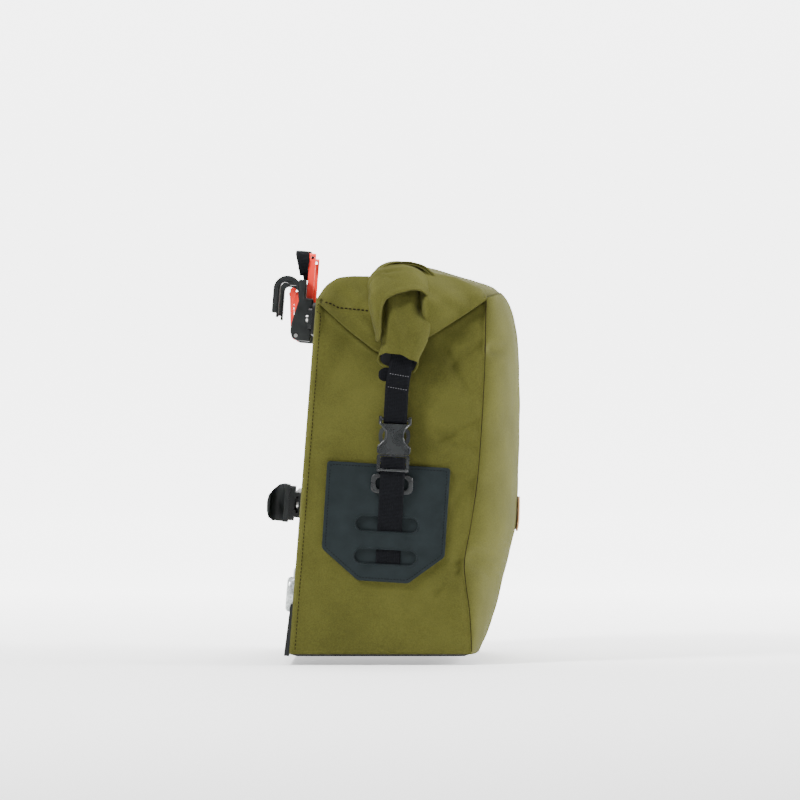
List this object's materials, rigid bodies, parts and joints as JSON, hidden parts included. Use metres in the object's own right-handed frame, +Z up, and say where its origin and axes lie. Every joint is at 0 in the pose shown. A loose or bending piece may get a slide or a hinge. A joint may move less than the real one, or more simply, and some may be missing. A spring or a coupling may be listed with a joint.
{
  "type": "pannier bag",
  "caption": "Roll-top bicycle pannier bag with side straps and buckles, a lifting handle that opens two rack hooks, and a sliding lower hook.",
  "frame": {"origin": "on the floor under the base, at mid width", "axes": "+Z up, +X towards the outer face, away from the rack, +Y towards the bag's right end"},
  "size_m": [0.2643, 0.344, 0.417],
  "materials": {
    "shell_fabric": "matte laminated",
    "base_fabric": "matte laminated",
    "patch_rubber": "matte",
    "webbing": "woven",
    "buckle_plastic": "moulded satin",
    "hook_plastic": "moulded satin",
    "red_plastic": "moulded satin",
    "rail_plastic": "moulded satin",
    "stiffener_plastic": "sheet",
    "steel": "zinc plated",
    "reflector": "prismatic, silver",
    "label_leather": "smooth, edge waxed"
  },
  "bodies": {
    "bag": {"anchor_webbing_left": "webbing", "anchor_webbing_right": "webbing", "back_panel": "shell_fabric", "back_stiffener": "stiffener_plastic", "base_panel": "base_fabric", "base_stiffener": "stiffener_plastic", "buckle_male_left": "buckle_plastic", "buckle_male_right": "buckle_plastic", "collar_back": "shell_fabric", "collar_front": "shell_fabric", "front_panel": "shell_fabric", "gusset_left": "shell_fabric", "gusset_right": "shell_fabric", "heel_guard": "rail_plastic", "hook_claw_left": "hook_plastic", "hook_claw_right": "hook_plastic", "hook_housing_left": "hook_plastic", "hook_housing_right": "hook_plastic", "hook_insert_left": "hook_plastic", "hook_insert_right": "hook_plastic", "label_patch": "label_leather", "latch_pins": "steel", "latch_spring_left": "steel", "latch_spring_right": "steel", "lower_rail": "rail_plastic", "patch_backings": "base_fabric", "rail_nuts": "steel", "rail_screws": "steel", "reflectors": "reflector", "roll": "shell_fabric", "roll_end_left": "shell_fabric", "roll_end_right": "shell_fabric", "roll_stiffener": "stiffener_plastic", "side_panel_left": "shell_fabric", "side_panel_right": "shell_fabric", "side_patch_left": "patch_rubber", "side_patch_right": "patch_rubber", "strap_lower_left": "webbing", "strap_lower_right": "webbing", "strap_ring_left": "buckle_plastic", "strap_ring_right": "buckle_plastic", "top_rail": "rail_plastic"},
    "handle": {"handle": "webbing", "handle_pins": "steel", "pull_plate_left": "red_plastic", "pull_plate_right": "red_plastic"},
    "latch_left": {"latch_left": "red_plastic"},
    "latch_right": {"latch_right": "red_plastic"},
    "lower_carriage": {"lower_carriage": "rail_plastic", "swivel_bolt": "steel"},
    "lower_claw": {"lower_claw": "hook_plastic"},
    "closure_left": {"strap_upper_left": "webbing", "buckle_female_left": "buckle_plastic"},
    "prong_back_left": {"buckle_prong_back_left": "buckle_plastic"},
    "prong_front_left": {"buckle_prong_front_left": "buckle_plastic"},
    "closure_right": {"strap_upper_right": "webbing", "buckle_female_right": "buckle_plastic"},
    "prong_back_right": {"buckle_prong_back_right": "buckle_plastic"},
    "prong_front_right": {"buckle_prong_front_right": "buckle_plastic"}
  },
  "joints": [
    {"name": "handle_lift", "type": "slide", "parent": "bag", "child": "handle", "axis": [0.0767, 0, 0.9971], "range_m": [0, 0.008], "stiffness_N_per_m": 500, "springref_m": -0.004},
    {"name": "latch_left_swing", "type": "hinge", "parent": "bag", "child": "latch_left", "pos_m": [-0.09128, -0.09, 0.32853], "axis": [0, 1, 0], "range_deg": [0, 7.5], "deforming": ["latch_spring_left"]},
    {"name": "latch_right_swing", "type": "hinge", "parent": "bag", "child": "latch_right", "pos_m": [-0.09128, 0.09, 0.32853], "axis": [0, 1, 0], "range_deg": [0, 7.5], "deforming": ["latch_spring_right"]},
    {"name": "carriage_slide", "type": "slide", "parent": "bag", "child": "lower_carriage", "axis": [0, 1, 0], "range_m": [-0.038, 0.118]},
    {"name": "claw_swivel", "type": "hinge", "parent": "lower_carriage", "child": "lower_claw", "pos_m": [-0.10114, -0.04, 0.15477], "axis": [0.9971, 0, -0.0767], "continuous": true},
    {"name": "closure_left_release", "type": "slide", "parent": "bag", "child": "closure_left", "axis": [0.0523, 0, 0.9986], "range_m": [0, 0.03], "deforming": ["buckle_prong_back_left", "buckle_prong_front_left"]},
    {"name": "prong_back_left_squeeze", "type": "hinge", "parent": "bag", "child": "prong_back_left", "pos_m": [0.00006, -0.159, 0.20686], "axis": [0, 1, 0], "range_deg": [0, 8.5], "stiffness_Nm_per_rad": 0.5},
    {"name": "prong_front_left_squeeze", "type": "hinge", "parent": "bag", "child": "prong_front_left", "pos_m": [0.01923, -0.159, 0.20585], "axis": [0, -1, 0], "range_deg": [0, 8.5], "stiffness_Nm_per_rad": 0.5},
    {"name": "closure_right_release", "type": "slide", "parent": "bag", "child": "closure_right", "axis": [0.0523, 0, 0.9986], "range_m": [0, 0.03], "deforming": ["buckle_prong_back_right", "buckle_prong_front_right"]},
    {"name": "prong_back_right_squeeze", "type": "hinge", "parent": "bag", "child": "prong_back_right", "pos_m": [0.00006, 0.159, 0.20686], "axis": [0, 1, 0], "range_deg": [0, 8.5], "stiffness_Nm_per_rad": 0.5},
    {"name": "prong_front_right_squeeze", "type": "hinge", "parent": "bag", "child": "prong_front_right", "pos_m": [0.01923, 0.159, 0.20585], "axis": [0, -1, 0], "range_deg": [0, 8.5], "stiffness_Nm_per_rad": 0.5}
  ],
  "couplings": [
    {"joint": "latch_left_swing", "follows": "handle_lift", "rad_per_m": 16.3},
    {"joint": "latch_right_swing", "follows": "handle_lift", "rad_per_m": 16.3}
  ]
}
